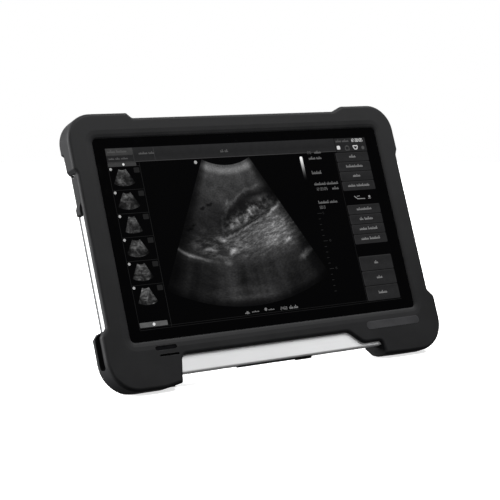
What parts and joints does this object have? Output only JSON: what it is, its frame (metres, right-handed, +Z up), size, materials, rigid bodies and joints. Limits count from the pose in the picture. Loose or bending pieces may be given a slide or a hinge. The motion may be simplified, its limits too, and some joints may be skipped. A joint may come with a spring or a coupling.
{
  "type": "tablet ultrasound scanner",
  "caption": "Rugged tablet ultrasound scanner with a wide touch screen in a rubber bumper, standing on a fold-out kickstand.",
  "frame": {"origin": "on the floor, under the middle of the bounding box of the tablet standing on its open kickstand", "axes": "+X to the right of someone facing the screen, +Y away from them, +Z up; the screen leans back 21.5 degrees"},
  "size_m": [0.326, 0.1238, 0.2082],
  "materials": {
    "bumper_rubber": "soft matt moulded rubber, charcoal",
    "soft_rubber": "softer matt rubber",
    "silver": "bead-blasted clear anodised",
    "dark_cover": "fine spark-eroded texture",
    "glass": "clear, black border",
    "sensor_film": "clear film",
    "screen": "lit display",
    "white_plastic": "white diffuser",
    "frame_metal": "milled",
    "steel": "satin",
    "dark_metal": "black powder coat",
    "brass": "turned",
    "copper": "plain copper",
    "circuit_board": "green solder mask",
    "black_plastic": "moulded",
    "battery": "shrink-wrapped pack",
    "lens": "smoked"
  },
  "bodies": {
    "tablet": {"rubber_bumper": "bumper_rubber", "main_housing": "silver", "rear_cover": "dark_cover", "glass_gasket": "black_plastic", "cover_glass": "glass", "touch_sensor": "sensor_film", "lcd_panel": "screen", "backlight_unit": "white_plastic", "mid_frame": "frame_metal", "mid_frame_screws": "steel", "rear_cover_screws": "steel", "vesa_inserts": "brass", "board_standoffs": "brass", "main_board": "circuit_board", "beamformer_board": "circuit_board", "antenna": "circuit_board", "heat_spreader": "copper", "heat_pipe": "copper", "fin_stack": "frame_metal", "blower_housing": "black_plastic", "blower_axle": "steel", "battery_pack": "battery", "battery_door": "dark_cover", "battery_door_screws": "steel", "kickstand_hinge_pins": "steel", "port_cover_pin": "steel", "side_sockets": "steel", "side_socket_tongues": "black_plastic", "power_jack": "black_plastic", "button_board": "circuit_board", "transducer_socket": "black_plastic", "transducer_contacts": "brass", "speakers": "black_plastic", "speaker_grilles": "dark_metal", "status_lens": "lens", "status_light_board": "circuit_board", "microphone": "black_plastic", "dock_connector": "black_plastic", "rear_pads": "soft_rubber", "microphone_mesh": "dark_metal"},
    "stand": {"kickstand": "dark_metal", "kickstand_foot": "soft_rubber"},
    "port_flap": {"port_cover": "soft_rubber"},
    "power_key": {"power_button": "black_plastic"},
    "volume_up_key": {"volume_up_button": "black_plastic"},
    "volume_down_key": {"volume_down_button": "black_plastic"},
    "release_key": {"release_slider": "soft_rubber"},
    "blower_wheel": {"blower_rotor": "black_plastic"}
  },
  "joints": [
    {"name": "kickstand_fold", "type": "hinge", "parent": "tablet", "child": "stand", "pos_m": [0, 0.01908, 0.1314], "axis": [-1, 0, 0], "range_deg": [0, 41.55]},
    {"name": "port_cover_swing", "type": "hinge", "parent": "tablet", "child": "port_flap", "pos_m": [-0.1551, 0.00636, 0.16038], "axis": [0, 0.9304, -0.3665], "range_deg": [0, 90]},
    {"name": "power_press", "type": "slide", "parent": "tablet", "child": "power_key", "axis": [-1, 0, 0], "range_m": [0, 0.0006], "stiffness_N_per_m": 900, "springref_m": -0.0006},
    {"name": "volume_up_press", "type": "slide", "parent": "tablet", "child": "volume_up_key", "axis": [-1, 0, 0], "range_m": [0, 0.0006], "stiffness_N_per_m": 900, "springref_m": -0.0006},
    {"name": "volume_down_press", "type": "slide", "parent": "tablet", "child": "volume_down_key", "axis": [-1, 0, 0], "range_m": [0, 0.0006], "stiffness_N_per_m": 900, "springref_m": -0.0006},
    {"name": "release_slide", "type": "slide", "parent": "tablet", "child": "release_key", "axis": [-1, 0, 0], "range_m": [0, 0.0038], "stiffness_N_per_m": 300, "springref_m": -0.002},
    {"name": "blower_spin", "type": "hinge", "parent": "tablet", "child": "blower_wheel", "pos_m": [0.101, 0.00938, 0.12125], "axis": [0, -0.9304, 0.3665], "continuous": true}
  ]
}
